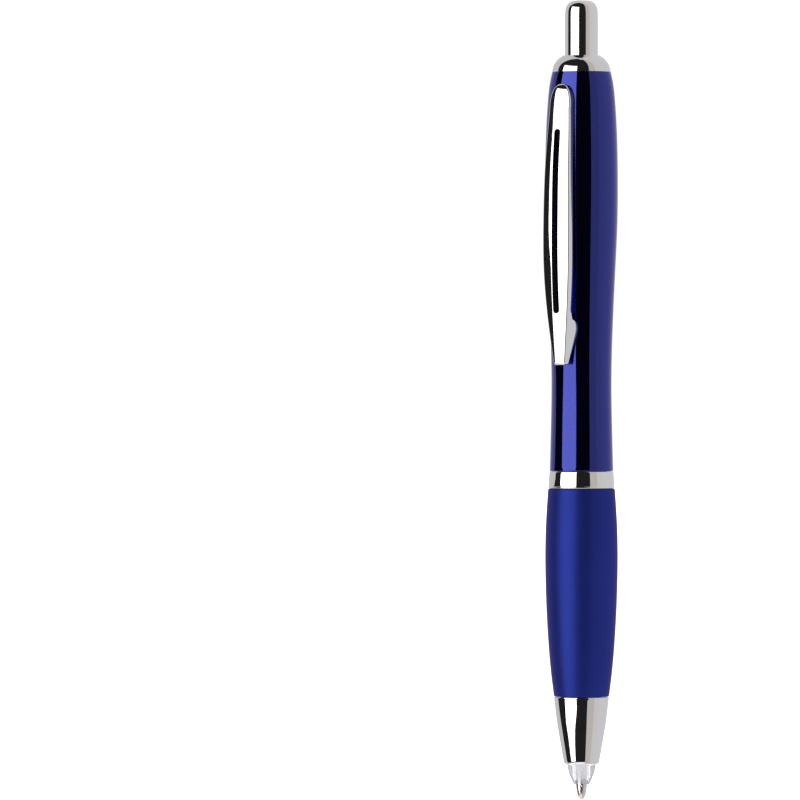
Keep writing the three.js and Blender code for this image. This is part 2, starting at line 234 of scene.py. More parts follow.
class Finish:
    """A procedural material around one Principled shader. Texture sizes are in millimetres."""

    def __init__(self, name, **sockets):
        self.material = bpy.data.materials.new(name)
        self.material.use_nodes = True
        self.tree = self.material.node_tree
        self.shader = self.tree.nodes["Principled BSDF"]
        self.place = self.node("ShaderNodeTexCoord").outputs["Object"]
        self.normal = None
        for socket, value in sockets.items():
            self.shader.inputs[socket.replace("_", " ").title().replace("Ior", "IOR")].default_value = value

    def node(self, kind, **settings):
        made = self.tree.nodes.new(kind)
        for key, value in settings.items():
            setattr(made, key, value)
        return made

    def wire(self, source, socket):
        self.tree.links.new(source, socket)

    def stretched(self, stretch):
        mapping = self.node("ShaderNodeMapping")
        mapping.inputs["Scale"].default_value = stretch
        self.wire(self.place, mapping.inputs["Vector"])
        return mapping.outputs["Vector"]

    def noise(self, size, detail=3.0, stretch=None):
        """Soft noise from 0 to 1, whose largest features have this size."""
        made = self.node("ShaderNodeTexNoise")
        made.inputs["Scale"].default_value = 1 / (size * MM)
        made.inputs["Detail"].default_value = detail
        self.wire(self.stretched(stretch) if stretch else self.place, made.inputs["Vector"])
        return made.outputs["Fac"]

    def cells(self, size):
        """The distance to scattered points, from 0 at a point to about 1 between them."""
        made = self.node("ShaderNodeTexVoronoi")
        made.inputs["Scale"].default_value = 1 / (size * MM)
        self.wire(self.place, made.inputs["Vector"])
        return made.outputs["Distance"]

    def rings(self, size):
        """Turning marks: fine rings around Z."""
        made = self.node("ShaderNodeTexWave", bands_direction="Z")
        made.inputs["Scale"].default_value = 0.3 / (size * MM)
        made.inputs["Distortion"].default_value = 1.5
        made.inputs["Detail"].default_value = 2.0
        self.wire(self.place, made.inputs["Vector"])
        return made.outputs["Fac"]

    def edges(self, low=0.515, high=0.6):
        """1 on worn outer edges, 0 on faces."""
        return self.ranged(self.node("ShaderNodeNewGeometry").outputs["Pointiness"], low, high, 0, 1)

    def ranged(self, source, from_low, from_high, to_low, to_high):
        made = self.node("ShaderNodeMapRange")
        for socket, value in zip(made.inputs[1:5], (from_low, from_high, to_low, to_high)):
            socket.default_value = value
        self.wire(source, made.inputs["Value"])
        return made.outputs["Result"]

    def mixed(self, factor, one, other):
        """A colour between two, each an (r, g, b) or another mixed colour."""
        made = self.node("ShaderNodeMix", data_type="RGBA")
        self.wire(factor, made.inputs[0])
        for colour, socket in ((one, made.inputs[6]), (other, made.inputs[7])):
            if isinstance(colour, tuple):
                socket.default_value = (*colour, 1)
            else:
                self.wire(colour, socket)
        return made.outputs[2]

    def total(self, one, other):
        made = self.node("ShaderNodeMath", operation="ADD")
        self.wire(one, made.inputs[0])
        self.wire(other, made.inputs[1])
        return made.outputs[0]

    def colour(self, source):
        self.wire(source, self.shader.inputs["Base Color"])

    def roughness(self, source):
        self.wire(source, self.shader.inputs["Roughness"])

    def bump(self, source, depth, socket="Normal"):
        """Adds relief of this depth in millimetres to a normal of the shader."""
        made = self.node("ShaderNodeBump")
        made.inputs["Strength"].default_value = 1.0
        made.inputs["Distance"].default_value = depth * MM
        self.wire(source, made.inputs["Height"])
        if socket == "Normal" and self.normal:
            self.wire(self.normal, made.inputs["Normal"])
        if socket == "Normal":
            self.normal = made.outputs["Normal"]
        self.wire(made.outputs["Normal"], self.shader.inputs[socket])


def lacquer():
    """High-gloss metallic blue paint: fine flakes under a clear coat with a trace of orange peel."""
    f = Finish("lacquer", metallic=1.0, coat_weight=1.0, coat_roughness=0.02, coat_ior=1.44)
    f.shader.inputs["Specular Tint"].default_value = (0.08, 0.12, 0.80, 1)
    flakes = f.cells(0.14)
    tone = f.mixed(f.noise(22), (0.003, 0.010, 0.19), (0.005, 0.014, 0.22))
    sparkle = f.ranged(flakes, 0.15, 0.75, 0, 1)
    paint = f.mixed(sparkle, tone, (0.006, 0.016, 0.25))
    f.colour(f.mixed(f.edges(), paint, (0.03, 0.05, 0.30)))
    f.roughness(f.ranged(f.noise(6), 0.3, 0.7, 0.05, 0.08))
    f.bump(flakes, 0.0002)
    f.bump(f.noise(1.4, 1.0), 0.0002, "Coat Normal")
    return f.material


def chrome():
    """Bright chrome plate: faint smudges, hairline scratches, and a few dust specks."""
    f = Finish("chrome", metallic=1.0)
    tone = f.mixed(f.noise(9), (0.80, 0.79, 0.79), (0.86, 0.86, 0.87))
    f.colour(f.mixed(f.edges(), tone, (0.92, 0.91, 0.90)))
    smudges = f.ranged(f.noise(3.5, 4.0), 0.35, 0.75, 0.03, 0.075)
    specks = f.ranged(f.noise(0.22, 1.0), 0.74, 0.80, 0, 0.2)
    f.roughness(f.total(smudges, specks))
    f.bump(f.noise(0.5, 2.0, stretch=(1, 1, 0.06)), 0.0001)
    f.bump(f.noise(4.0, 1.0), 0.0003)
    return f.material


def dull_plate():
    """Thin, unpolished plate on the walls of the clip's slot, its colour darkened near black as painted
    shade of the recess, in uneven blotches.
    """
    f = Finish("dull_plate", metallic=1.0)
    # Painted shade: the slot's walls are coloured near black to stand in for the shade inside the recess.
    f.colour(f.mixed(f.noise(0.8, 4.0), (0.020, 0.015, 0.022), (0.055, 0.045, 0.055)))
    f.roughness(f.ranged(f.noise(0.3), 0.3, 0.7, 0.35, 0.5))
    f.bump(f.noise(0.12, 2.0), 0.003)
    return f.material


def soft_grip():
    """Satin soft-touch paint over rubber: a velvety grain with a blue sheen."""
    f = Finish("soft_grip", metallic=0.66, specular_ior_level=0.35, sheen_weight=0.06, sheen_roughness=0.5)
    f.shader.inputs["Specular Tint"].default_value = (0.30, 0.28, 0.55, 1)
    f.shader.inputs["Sheen Tint"].default_value = (0.75, 0.6, 1.0, 1)
    tone = f.mixed(f.noise(7), (0.012, 0.024, 0.20), (0.016, 0.030, 0.24))
    f.colour(f.mixed(f.edges(), tone, (0.02, 0.04, 0.30)))
    f.roughness(f.ranged(f.noise(2.2, 4.0), 0.3, 0.7, 0.36, 0.42))
    f.bump(f.noise(0.16, 2.0), 0.004)
    f.bump(f.noise(2.5, 1.0), 0.006)
    return f.material


def clear_plastic():
    """Clear moulded plastic, a little milky, with faint flow lines. It bends light as a thin wall does."""
    f = Finish("clear_plastic", transmission_weight=0.92, ior=1.16)
    f.colour(f.mixed(f.noise(2.4), (0.80, 0.81, 0.85), (0.88, 0.885, 0.91)))
    f.roughness(f.ranged(f.noise(0.8), 0.3, 0.7, 0.0, 0.02))
    f.bump(f.noise(1.0, 1.0, stretch=(1, 1, 0.3)), 0.0002)
    return f.material


def moulded(name, dark, light, gloss, **sockets):
    """Moulded plastic: slight colour drift, a fine spark-eroded grain and polished edges."""
    f = Finish(name, **sockets)
    tone = f.mixed(f.noise(3.0), dark, light)
    polished = tuple(min(1.0, 1.15 * c + 0.01) for c in light)
    f.colour(f.mixed(f.edges(), tone, polished))
    f.roughness(f.ranged(f.noise(0.6), 0.3, 0.7, gloss - 0.06, gloss + 0.06))
    f.bump(f.noise(0.09, 2.0), 0.002)
    return f.material


def turned_metal(name, dark, light, gloss, marks):
    """Turned metal: fine rings, slight tarnish, bright edges."""
    f = Finish(name, metallic=1.0)
    tone = f.mixed(f.noise(1.6, 4.0), dark, light)
    f.colour(f.mixed(f.edges(), tone, tuple(min(1.0, 1.2 * c) for c in light)))
    grooves = f.rings(marks)
    f.roughness(f.ranged(grooves, 0, 1, gloss - 0.04, gloss + 0.05))
    f.bump(grooves, 0.0006)
    return f.material


def drawn_steel():
    """Drawn stainless steel: fine lines along the axis."""
    f = Finish("steel", metallic=1.0)
    tone = f.mixed(f.noise(2.0, 4.0), (0.50, 0.50, 0.50), (0.64, 0.64, 0.65))
    f.colour(f.mixed(f.edges(), tone, (0.78, 0.78, 0.78)))
    lines = f.noise(0.12, 3.0, stretch=(1, 1, 0.03))
    f.roughness(f.ranged(lines, 0.3, 0.7, 0.16, 0.30))
    f.bump(lines, 0.0008)
    return f.material


def paste_ink():
    """Thick blue ink, wet and slightly uneven."""
    f = Finish("ink", coat_weight=0.6, coat_roughness=0.05)
    f.colour(f.mixed(f.noise(1.2), (0.002, 0.003, 0.050), (0.004, 0.006, 0.090)))
    f.roughness(f.ranged(f.noise(0.8), 0.3, 0.7, 0.12, 0.25))
    f.bump(f.noise(0.9, 1.0), 0.01)
    return f.material


MATERIALS = {
    "lacquer": lacquer(),
    "chrome": chrome(),
    "soft_grip": soft_grip(),
    "clear_plastic": clear_plastic(),
    "black_plastic": moulded("black_plastic", (0.010, 0.010, 0.011), (0.020, 0.020, 0.022), 0.38),
    "white_plastic": moulded(
        "white_plastic", (0.72, 0.70, 0.64), (0.82, 0.81, 0.76), 0.36, subsurface_weight=0.04
    ),
    "brass": turned_metal("brass", (0.55, 0.37, 0.13), (0.72, 0.52, 0.22), 0.2, 0.08),
    "steel": drawn_steel(),
    "nickel_silver": turned_metal("nickel_silver", (0.69, 0.66, 0.64), (0.82, 0.79, 0.78), 0.2, 0.04),
    "ink": paste_ink(),
}


def take_over(piece, node, rides=True):
    """The piece stands for its CAD node: same body, same material slot."""
    slot = SLOT_OF[node]
    if not piece.data.materials:
        piece.data.materials.append(MATERIALS[slot])
    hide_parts(node)
    if rides:
        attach(piece, BODY_OF[node])
    return piece


# ---------- upper barrel and its insides ----------

BARREL = through(
    [
        (5.6, 0),
        (5.4, 8.1),
        (5.3, 15.6),
        (5.48, 24.1),
        (5.98, 35.4),
        (6.36, 44.1),
        (6.43, 50.6),
        (6.32, 58.3),
        (5.93, 65.5),
        (5.5, 69),
        (5.2, 70.35),
    ],
    110,
)
WINDOW = 59.1, 63.7  # heights of the clip's window in the barrel wall
WINDOW_HALF_WIDTH = 1.2


def barrel_radius(height):
    return float(np.interp(height, [z for r, z in BARREL], [r for r, z in BARREL]))


def upper_barrel():
    wall = [p for p in BARREL[1:-1] if all(abs(p[1] - z) > 0.2 for z in WINDOW)]
    wall += [(barrel_radius(z), z) for z in WINDOW]
    wall.sort(key=lambda p: p[1])
    foot, head = (*BARREL[0], 0.2), (*BARREL[-1], 0.03)
    bore = [
        (4.7, 70.35, 0.1),
        (4.7, 64.5),
        (5.45, WINDOW[1]),
        (5.45, WINDOW[0]),
        (5.45, 46.1),
        (4.6, 28.1),
        (4.6, 0, 0.12),
    ]
    half_steps = round(WINDOW_HALF_WIDTH / barrel_radius(WINDOW[0]) / FULL_TURN * SEGMENTS)
    return turned("upper_barrel", [foot, *wall, head, *bore], window=(*WINDOW, half_steps))


def crown_collar():
    dome = through([(5.19, 3.8), (4.96, 4.8), (4.5, 5.65), (3.82, 6.32), (3.42, 6.6)], 26)
    rim = [(3.3, 6.7, 0.12), (3.05, 6.6, 0.06)]
    skirt = [(3.05, 0, 0.08), (4.6, 0, 0.15), (4.6, 3.78), (5.19, 3.79, 0.02)]
    return turned("crown_collar", [*dome, *rim, *skirt])


def near(angle, count, width, turn=0):
    """Whether an angle lies on one of a number of evenly spaced ribs of this width, in degrees."""
    step = 360 / count
    off = (angle * 360 / FULL_TURN - turn + step / 2) % step - step / 2
    return abs(off) <= width / 2


def saw(angle, teeth, height):
    """Height of a crown of saw teeth at an angle: a long slope and a steep flank."""
    slope = 0.85  # share of a tooth
    part = angle / FULL_TURN * teeth % 1
    return height * (part / slope if part < slope else (1 - part) / (1 - slope))


def cam_sleeve():
    def outline(angle):
        rail = 2.75 if near(angle, 4, 50, turn=45) else 3.65
        lift = saw(angle, 8, 0.8) if rail < 3 else 0
        return [
            (4.45, 0, 0.1),
            (4.45, 20.2, 0.1),
            (3.65, 20.2, 0.05),
            (3.65, 19.4),
            (rail, 19.4),
            (rail, 9.4 + lift),
            (3.65, 9.4 + lift),
            (3.65, 0, 0.05),
        ]

    return turned("cam_sleeve", outline, segments=CAM_SEGMENTS)


def button_plunger():
    def outline(angle):
        key = 3.45 if near(angle, 4, 28) else 2.55
        tooth = 0.7 - saw(-angle, 8, 0.7)
        return [
            (1.6, tooth),
            (2.55, tooth),
            (2.55, 1.3),
            (key, 1.3),
            (key, 5.1),
            (2.55, 5.1),
            (2.55, 11.3, 0.1),
            (2.2, 11.3),
            (2.2, 22.3, 0.2),
            (1.6, 22.3, 0.1),
        ]

    return turned("button_plunger", outline, segments=CAM_SEGMENTS)


def cam_rotor():
    def outline(angle):
        rib = near(angle, 4, 22)
        tooth = 13.8 + saw(angle, 8, 0.7)
        lead = 13.9 + 0.5 * ((angle / FULL_TURN * 4 + 0.5) % 1 - 0.5) * 8 if rib else 13.8
        return [
            (0, 13.8),
            (1.1, 13.8),
            (1.1, tooth),
            (2.4, tooth),
            (2.4, min(tooth, lead)),
            (3.45 if rib else 2.4, min(14.4, lead)),
            (3.45 if rib else 2.4, 10.2),
            (2.4, 10.2),
            (2.4, 0, 0.2),
            (1.3, 0, 0.1),
            (1.3, 7),
            (0, 7),
        ]

    return turned("cam_rotor", outline, segments=CAM_SEGMENTS)


def thread(angle, height, low, high):
    """Relief of a right-hand thread of 1 mm pitch, from 0 at its root to 1 at its crest."""
    half_ridge, run_out_length, crest_cut = 0.32, 0.5, 1.3
    turn = (height - angle / FULL_TURN) % 1
    ridge = max(0.0, 1 - abs(turn - 0.5) / half_ridge)
    run_out = min(1.0, max(0.0, min(height - low, high - height)) / run_out_length)
    return min(1.0, crest_cut * ridge) * run_out


def thread_bush():
    def outline(angle):
        bore = [(3.95 + 0.18 * thread(angle, z, 0.3, 9.7), z) for z in np.arange(9.8, 0.15, -0.1)]
        return [(4.5, 0, 0.15), (4.5, 10, 0.15), (3.95, 10, 0.1), *bore, (3.95, 0, 0.1)]

    return turned("thread_bush", outline, segments=SCREW_SEGMENTS)


def push_button():
    dome = through(
        [(2.88, 13.6), (2.84, 14.1), (2.66, 14.8), (2.2, 15.42), (1.7, 15.7), (1.2, 15.79)], 22
    )
    outside = [(0, 15.8), (0.6, 15.8), *reversed(dome), (2.9, 13), (2.9, 0, 0.15)]
    return turned("push_button", [*outside, (2.3, 0, 0.1), (2.3, 11.3, 0.4), (0, 11.3)])


# ---------- front section ----------


def centre_ring():
    bead = through([(5.72, 0.0), (5.86, 0.06), (5.9, 0.17), (5.86, 0.28), (5.81, 0.34)], 10)
    side = through([(5.81, 0.4), (5.74, 1.45), (5.62, 2.75)], 12)
    top = [(5.56, 3, 0.12), (4.45, 3, 0.1)]
    return turned("centre_ring", [(4.45, 0, 0.1), *bead, *side, *top])


def grip_sleeve():
    outside = through(
        [(4.9, 0.3), (5.25, 3), (5.75, 8.2), (6.22, 16.3), (6.41, 23.8), (6.27, 30.8), (5.92, 36.3)], 80
    )
    return turned("grip_sleeve", [(4.86, 0, 0.12), *outside, (5.88, 36.6, 0.15), (4.45, 36.6), (4.45, 0)])


def grip_core():
    def outline(angle):
        heights = np.arange(44.5, 52.3, 0.08)
        spigot = [(3.6 + 0.25 * thread(angle, z - 0.3, 44.5, 52.1), z) for z in heights]
        return [
            (3.15, 0, 0.15),
            (3.7, 0, 0.2),
            (3.7, 4.6),
            (4.35, 4.6, 0.1),
            (4.35, 44.2, 0.15),
            (3.6, 44.2),
            *spigot,
            (3.6, 52.8, 0.25),
            (3.15, 52.8, 0.1),
        ]

    return turned("grip_core", outline, segments=SCREW_SEGMENTS)


def nose_cone():
    outside = through([(3.12, 0.3), (3.8, 4.1), (4.36, 7.6), (4.84, 11.6)], 40)
    seats = [(4.8, 11.8, 0.1), (3.8, 11.8, 0.1), (3.8, 7.1), (3.05, 7.1), (3.05, 2.3), (2.4, 2.3)]
    return turned("nose_cone", [(2.4, 0, 0.05), (3.0, 0, 0.14), *outside, *seats])


def clear_tip():
    cone = through([(1.4, 0.12), (1.64, 0.6), (2.07, 1.6), (2.38, 2.6), (2.5, 3.35)], 24)
    spigot = [(2.52, 3.55, 0.06), (2.3, 3.55), (2.3, 6.05), (2.6, 6.15, 0.05), (2.45, 6.8, 0.05)]
    top = [(2.3, 6.8), (2.3, 7.5, 0.08), (1.35, 7.5, 0.1)]
    bore = [(1.35, 1.4), (1.12, 1.1)]
    return turned("clear_tip", [(1.12, 0, 0.03), (1.34, 0, 0.08), *cone, *spigot, *top, *bore])


def return_spring():
    """Music wire coil with closed ends, squeezed between the clear tip and the refill's shoulder."""
    low, high = (corner.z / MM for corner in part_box("return_spring"))
    coil, wire, turns, around, sides = 2.05, 0.2, 8, 44, 12
    rise = 2 * wire + 0.02  # of a closed turn
    eased = 0.12  # turns over which the rise changes
    pitch = (high - low - 2 * wire - 2 * rise) / (turns - 2)

    def height(turn):
        open_turns = min(max(turn - 1, 0), turns - 2)
        closed_turns = turn - open_turns
        return low + wire + closed_turns * rise + open_turns * pitch

    rows = []
    for i in range(turns * around + 1):
        turn = i / around
        angle = FULL_TURN * turn
        z = (height(max(turn - eased, 0)) + height(turn) + height(min(turn + eased, turns))) / 3
        out = np.array((cos(angle), sin(angle), 0))
        centre = coil * out + (0, 0, z)
        spokes = [FULL_TURN * j / sides for j in range(sides)]
        rows.append([centre + wire * (cos(a) * out + (0, 0, sin(a))) for a in spokes])
    return mesh_object("return_spring_fine", *loft(rows))


# ---------- refill ----------


def refill_tube():
    outside = [
        (1.68, 0, 0.05),
        (2.35, 0, 0.1),
        (2.95, 0.6, 0.3),
        (2.95, 1.7),
        (2.83, 1.95, 0.1),
        (2.83, 2.15, 0.1),
        (2.95, 2.4),
        (2.95, 69.9),
        (2.88, 70.1, 0.06),
        (2.88, 70.25, 0.06),
        (2.95, 70.45),
        (2.95, 71.2, 0.06),
    ]
    return turned("refill_tube", [*outside, (2.7, 71.2, 0.04), (2.7, 0.7), (1.68, 0.3)])


def refill_neck():
    foot = [(0.95, 0, 0.04), (1.27, 0, 0.08)]
    waist = [(1.27, 5.2), (1.6, 6, 0.2), (1.6, 13.4), (1.63, 14.2), (2.6, 14.6, 0.1)]
    return turned("refill_neck", [*foot, *waist, (2.6, 16.6, 0.1), (0.95, 16.6, 0.05)])


def refill_end_cap():
    def outline(angle):
        top = 9.0 if near(angle, 6, 17) else 9.6
        return [
            (0, 9.6),
            (0.9, 9.6),
            (0.9, top),
            (2.3, top),
            (2.3, 7.1),
            (2.95, 6.5, 0.1),
            (2.95, 4.6, 0.08),
            (2.6, 4.6),
            (2.6, 0, 0.15),
            (0, 0),
        ]

    return turned("refill_end_cap", outline)


def ink_column():
    meniscus = through([(0, 57.8), (1.3, 57.95), (2.2, 58.35), (2.58, 58.78)], 12)
    return turned("ink_column", [*meniscus, (2.6, 58.6), (2.6, 0, 0.1), (0, 0)], segments=72)


def writing_tip():
    """Turned point: rolled lip, cone with three dimples that hold the ball, body, shoulder and shank."""
    dimples, up, wide, tall, deep = 3, 2.1, 0.13, 0.16, 0.09
    cone = through([(0.5, 0.1), (0.66, 0.5), (0.8, 1.05), (0.9, 1.65), (0.97, 2.3), (1.0, 3.0)], 40)
    body = [(1.0, 5.5, 0.05), (1.17, 5.75, 0.06), (1.17, 8.1, 0.08), (0.85, 8.1, 0.04), (0.85, 11.8, 0.08)]
    passage = [(0.22, 11.8, 0.03), (0.22, 0.78), (0.38, 0.52), (0.44, 0.25), (0.4, 0.02)]

    def outline(angle):
        def dimple(r, z):
            off = (angle / FULL_TURN * dimples + 0.25) % 1 - 0.5
            spot = ((off * FULL_TURN / dimples * r) / wide) ** 2 + ((z - up) / tall) ** 2
            return r - deep * exp(-spot)

        return [(0.44, 0, 0.02), *[(dimple(r, z), z) for r, z in cone], *body, *passage]

    return turned("writing_tip", outline, segments=SCREW_SEGMENTS)


def writing_ball():
    arc = [FULL_TURN / 2 * i / 24 for i in range(25)]
    half = [(0.4 * sin(a), 0.4 - 0.4 * cos(a)) for a in arc]
    half[0], half[-1] = (0, 0), (0, 0.8)
    return turned("writing_ball", half, segments=48)


# ---------- pocket clip ----------

# Distances out from the pen's axis and heights above the foot's lower end.
CLIP_LENGTH = 49.45
CLIP_THICKNESS = 1.42
SLOT_HALF_WIDTH = 0.575
SLOT_LOW, SLOT_HIGH = 9.04, 41.44
FOOT_ROUND = 0.52
LOBE = 7.72, 5.94, 2.1  # centre out, centre height, radius
CROWN_RADIUS = 6.8, 5.6  # of the face, across the clip
CROWN_HEIGHTS = 26, 42  # up to which the first radius holds, and from which the second does
EDGE = 0.3  # rounding of the face's edge
FACE_POINTS, BACK_POINTS = 17, 9  # across half of the face and half of the back
CORNER_STEPS = 5
WALL_STEPS = 0.33, 0.67  # points along a side wall
TOP_CURL = 47.4  # height from which the strip's back curls out to meet its face
TOP_ROUND = 45.3  # height from which the top narrows
TOP_POWER = 2.3  # of the top's outline, a little squarer than an ellipse

_end = [FULL_TURN / 4 * i / 12 for i in range(13)]
_foot_face = [(7.44 + FOOT_ROUND * sin(a), FOOT_ROUND * (1 - cos(a))) for a in _end]
_foot_back = [(7.44 - FOOT_ROUND * sin(a), FOOT_ROUND * (1 - cos(a))) for a in _end]
_face = through(
    [
        (7.97, 0.62),
        (8.42, 4.44),
        (9.1, 11.54),
        (9.48, 19.44),
        (9.44, 26.44),
        (9.04, 36.24),
        (8.3, 43.24),
        (7.66, 47.9),
        (7.33, 48.9),
        (7.0, 49.32),
        (6.6, CLIP_LENGTH),
    ],
    400,
)
CLIP_FACE = _foot_face + _face
_half_width = through(
    [
        (1.13, 0),
        (1.8, 6.04),
        (2.12, 9.44),
        (2.55, 15.94),
        (2.67, 22.44),
        (2.6, 29.44),
        (2.3, 39.94),
        (2.05, 45.04),
    ],
    200,
)


def at_height(curve, height):
    return float(np.interp(height, [z for r, z in curve], [r for r, z in curve]))


def clip_face(height):
    return at_height(CLIP_FACE, height)


def clip_back(height):
    """The strip's inside, with the foot's ramp and lobe."""
    out, up, radius = LOBE
    round_end, ramp_start, ramp_out, contact = 0.44, 0.54, 6.92, out - radius
    lobe_top = up + radius * sin(radians(80))
    if height < round_end:
        return at_height(_foot_back, height)
    if height < up:
        along = (max(height, ramp_start) - ramp_start) / (up - ramp_start)
        return ramp_out + (contact - ramp_out) * along
    if height < lobe_top:
        return out - sqrt(radius**2 - (height - up) ** 2)
    inside = clip_face(min(height + 0.1, TOP_CURL)) - CLIP_THICKNESS
    if height < TOP_CURL:
        return inside
    end_out = CLIP_FACE[-1][0]
    part = (height - TOP_CURL) / (CLIP_LENGTH - TOP_CURL)
    return inside + (end_out - inside) * (1 - sqrt(max(0, 1 - part**4)))


def clip_half_width(height):
    if height > TOP_ROUND:
        part = (height - TOP_ROUND) / (CLIP_LENGTH - TOP_ROUND)
        return _half_width[-1][0] * max(0, 1 - part**TOP_POWER) ** (1 / TOP_POWER)
    corner = 0.35
    width = at_height(_half_width, height)
    if height < corner:
        width -= corner - sqrt(corner**2 - (corner - height) ** 2)
    return width


def slot_half_width(height):
    r = SLOT_HALF_WIDTH
    off = max(SLOT_LOW + r - height, height - (SLOT_HIGH - r), 0)
    return sqrt(max(0, r * r - off * off))


def clip_heights():
    """Heights of the clip's rows, packed closely where its shape turns."""
    eased = [1 - cos(FULL_TURN / 4 * i / 10) for i in range(11)]
    r = SLOT_HALF_WIDTH
    heights = [
        *(FOOT_ROUND * e for e in eased),
        *np.linspace(0.56, 7.6, 40),
        *np.linspace(7.65, 8.1, 10),
        *np.linspace(8.2, SLOT_LOW, 8),
        *(SLOT_LOW + r * e for e in eased),
        *np.linspace(SLOT_LOW + r, SLOT_HIGH - r, 110),
        *(SLOT_HIGH - r * e for e in eased),
        *np.linspace(SLOT_HIGH, 47.6, 34),
        *(CLIP_LENGTH - (CLIP_LENGTH - 47.6) * e for e in eased),
        *(CLIP_LENGTH - 0.16 * e for e in eased),
    ]
    merged = []
    for height in sorted(heights):
        if not merged or height - merged[-1] > 0.004:
            merged.append(height)
    return merged


def foot_flare(height):
    """How much wider the foot is for each millimetre nearer the barrel, fading out above the lobe."""
    return 0.16 * min(1, max(0, (9.6 - height) / 1.6))


def clip_row(height):
    """Right half of the clip's section at a height: face, edge, side, back, and the slot's wall."""
    face, back = clip_face(height), clip_back(height)
    width, slot = clip_half_width(height), slot_half_width(height)
    thick = max(face - back, 0)
    edge = min(EDGE, 0.45 * thick, 0.45 * width)
    back_edge = min(0.08, 0.2 * thick, 0.45 * width)
    lip = min(0.07, 0.4 * slot, 0.2 * thick)
    fall = min(1, thick / 0.6) / (2 * np.interp(height, CROWN_HEIGHTS, CROWN_RADIUS))
    wide = width + foot_flare(height) * thick
    quarter = [FULL_TURN / 4 * i / CORNER_STEPS for i in range(CORNER_STEPS + 1)]

    def crowned(level, x):
        return level - fall * x * x

    inner = slot + lip
    flat_end = max(width - edge, inner)
    row = [(x, crowned(face, x)) for x in np.linspace(inner, flat_end, FACE_POINTS)]
    drop = crowned(face, flat_end) - edge
    row += [(width - edge + edge * sin(a), drop + edge * cos(a)) for a in quarter[1:]]
    low = crowned(back, wide) + back_edge
    row += [(width + (wide - width) * u, drop + (low - drop) * u) for u in WALL_STEPS]
    row += [(wide - back_edge + back_edge * cos(a), low - back_edge * sin(a)) for a in quarter]
    row += [(x, crowned(back, x)) for x in np.linspace(wide - back_edge, inner, BACK_POINTS)[1:]]
    foot = crowned(back, inner) + lip
    row += [(inner - lip * sin(a), foot - lip * cos(a)) for a in quarter[1:]]
    top = crowned(face, inner) - lip
    row += [(slot, foot + (top - foot) * u) for u in WALL_STEPS]
    row += [(inner - lip * cos(a), top + lip * sin(a)) for a in quarter[:-1]]
    return row


def clip_strip(base):
    heights = clip_heights()
    rows = [clip_row(height) for height in heights]
    count = len(rows[0])
    # Points from the middle of the face round to the middle of the back.
    skin = FACE_POINTS + CORNER_STEPS + len(WALL_STEPS) + CORNER_STEPS + 1 + BACK_POINTS - 1
    vertices, faces = [], []
    for side in (1, -1):
        start = len(vertices)
        for row, height in zip(rows, heights):
            vertices += [(side * x, -out, base + height) for x, out in row]
        for i, height in enumerate(heights[:-1]):
            middle = (height + heights[i + 1]) / 2
            slotted = SLOT_LOW < middle < SLOT_HIGH
            for j in range(count if slotted else skin - 1):
                k = (j + 1) % count
                a, b = start + i * count, start + (i + 1) * count
                faces.append([a + j, a + k, b + k, b + j])
    return mesh_object("pocket_clip_fine", vertices, faces, crease=50)


def clip_root(base, barrel_base):
    """Block between the strip and the barrel, a hair off the barrel, with a rounded inner corner."""
    low, high, gap, overlap = 39.44, 48.85, 0.15, 0.25
    half_width, fillet, fillet_out, corner, top_round = 1.65, 0.4, 6.98, 0.16, 0.2
    shoulder = high - top_round
    rows = []
    heights = [low - fillet * cos(a) for a in _end] + list(np.linspace(low, shoulder, 30))
    heights += [shoulder + top_round * sin(a) for a in _end[1:]]
    for n, height in enumerate(heights):
        half = min(half_width, clip_half_width(height) - 0.1)
        front = clip_back(height) + overlap
        wall = barrel_radius(base + height - barrel_base) + gap
        rise = max(0, height - shoulder)
        inset = top_round - sqrt(max(0, top_round**2 - rise**2))
        row = []
        for u in np.linspace(-1, 1, 15):
            x = u * (half - inset * 0.5)
            back = sqrt(wall**2 - x * x) + inset
            bevel = max(0, abs(x) - (half - corner))
            back += corner - sqrt(max(0, corner**2 - bevel**2))
            if n < len(_end):
                arch = fillet_out + sqrt(max(0, fillet**2 - (height - low + fillet) ** 2))
                back = max(back, arch)
            row.append((x, -back, base + height))
        row += [(x, -front, z) for x, _, z in reversed(row)]
        rows.append(row)
    return mesh_object("clip_root", *loft(rows))


def clip_tang(base):
    """Flat tongue through the barrel's window, with a hook turned down inside."""
    low, high, inner, outer = 41.14, 44.54, 4.65, 7.2
    hook, thick, half_width, bevel = 1.1, 0.3, 0.9, 0.06

    def side(x, inset):
        inside, outside = inner + inset, inner + thick - inset
        top, bottom, tip = high - inset, low + inset, low - hook + inset
        tongue = [(outer, bottom), (outer, top), (inside, top)]
        turned_down = [(inside, tip), (outside, tip), (outside, bottom)]
        return [(x, -out, base + z) for out, z in tongue + turned_down]

    full = half_width - bevel
    rows = [side(-half_width, bevel), side(-full, 0), side(full, 0), side(half_width, bevel)]
    return mesh_object("clip_tang", *loft(rows))


def pocket_clip():
    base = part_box("pocket_clip")[0].z / MM
    barrel_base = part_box("upper_barrel")[0].z / MM
    clip = union(clip_strip(base), clip_root(base, barrel_base), clip_tang(base))
    clip.data.materials.append(MATERIALS["chrome"])
    clip.data.materials.append(dull_plate())
    # The slot's wall faces take the second material, whose dark colour is painted shade of the slot.
    for face in clip.data.polygons:
        x, y, z = face.center / MM
        height = z - base
        if abs(x) < slot_half_width(height) + 0.01 and -y < clip_face(height) - 0.1:
            face.material_index = 1
    return clip


# ---------- assembly ----------

MAKERS = [
    upper_barrel,
    crown_collar,
    cam_sleeve,
    thread_bush,
    pocket_clip,
    push_button,
    button_plunger,
    cam_rotor,
    centre_ring,
    grip_core,
    grip_sleeve,
    nose_cone,
    clear_tip,
    refill_tube,
    refill_neck,
    refill_end_cap,
    ink_column,
    writing_tip,
    writing_ball,
]
for make in MAKERS:
    take_over(make(), make.__name__)

